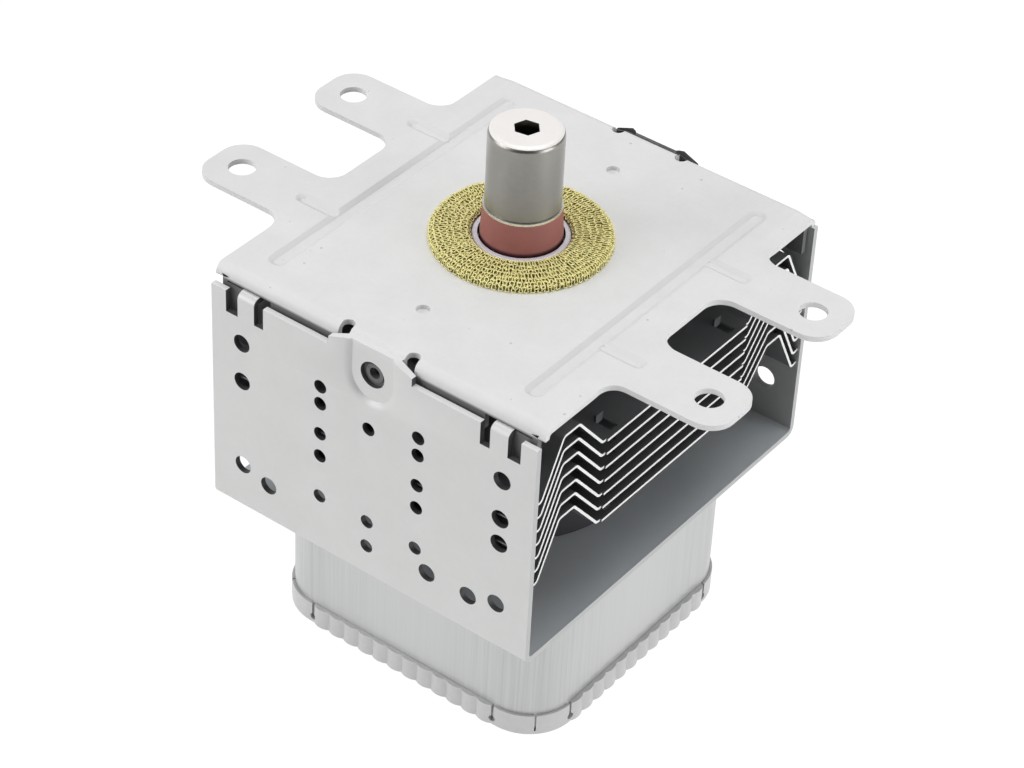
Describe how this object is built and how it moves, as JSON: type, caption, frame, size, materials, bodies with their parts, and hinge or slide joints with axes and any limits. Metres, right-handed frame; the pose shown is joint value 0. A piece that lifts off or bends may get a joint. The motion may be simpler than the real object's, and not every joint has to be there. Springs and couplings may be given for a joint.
{
  "type": "microwave oven magnetron",
  "caption": "Microwave-oven magnetron: finned vacuum tube clamped between ring magnets in a folded steel yoke, with an antenna cap, mounting ears, and a filter box with a connector below.",
  "frame": {"origin": "on the antenna's axis at the upper face of the mounting plate, in the middle of the four ear holes", "axes": "+Z along the antenna away from the plate, X along the mounting ears and the cooling air, +Y towards the connector's side"},
  "size_m": [0.129, 0.0964, 0.1186],
  "materials": {
    "plate_steel": "zinc plated, satin",
    "yoke_steel": "zinc plated, satin",
    "gasket_wire": "knitted wire, bright",
    "seal_metal": "nickel plated, satin",
    "pink_ceramic": "unglazed, matte",
    "copper": "bare copper",
    "cap_steel": "drawn, satin",
    "ferrite": "ground, matte",
    "soft_iron": "machined",
    "dark_wire": "carburised, dull",
    "fin_aluminium": "mill finish",
    "box_aluminium": "brushed along the draw",
    "lid_aluminium": "mill finish",
    "moulding": "glass filled, matte",
    "blade_metal": "tin plated",
    "flange_steel": "zinc plated, satin"
  },
  "bodies": {
    "root": {"anode_block": "copper", "antenna_cap": "cap_steel", "antenna_ceramic": "pink_ceramic", "antenna_lead": "copper", "antenna_seal_ring": "seal_metal", "capacitor_flange": "flange_steel", "cathode_filament": "dark_wire", "centre_lead": "dark_wire", "choke_winding_a": "copper", "choke_winding_b": "copper", "connector_blade_a": "blade_metal", "connector_blade_b": "blade_metal", "connector_block": "moulding", "cooling_fin_1": "fin_aluminium", "cooling_fin_2": "fin_aluminium", "cooling_fin_3": "fin_aluminium", "cooling_fin_4": "fin_aluminium", "cooling_fin_5": "fin_aluminium", "cooling_fin_6": "fin_aluminium", "cooling_fin_7": "fin_aluminium", "exhaust_tube": "copper", "ferrite_core_a": "ferrite", "ferrite_core_b": "ferrite", "filament_terminal_a": "seal_metal", "filament_terminal_b": "seal_metal", "filter_box": "box_aluminium", "filter_box_lid": "lid_aluminium", "flange_rivet_a": "flange_steel", "flange_rivet_b": "flange_steel", "lower_end_hat": "dark_wire", "lower_magnet": "ferrite", "lower_pole_piece": "soft_iron", "lower_seal_cup": "seal_metal", "lower_strap_ring": "copper", "mounting_plate": "plate_steel", "rf_gasket": "gasket_wire", "side_lead": "dark_wire", "stem_ceramic": "pink_ceramic", "upper_end_hat": "dark_wire", "upper_magnet": "ferrite", "upper_pole_piece": "soft_iron", "upper_seal_cup": "seal_metal", "upper_strap_ring": "copper", "yoke": "yoke_steel"}
  },
  "joints": []
}
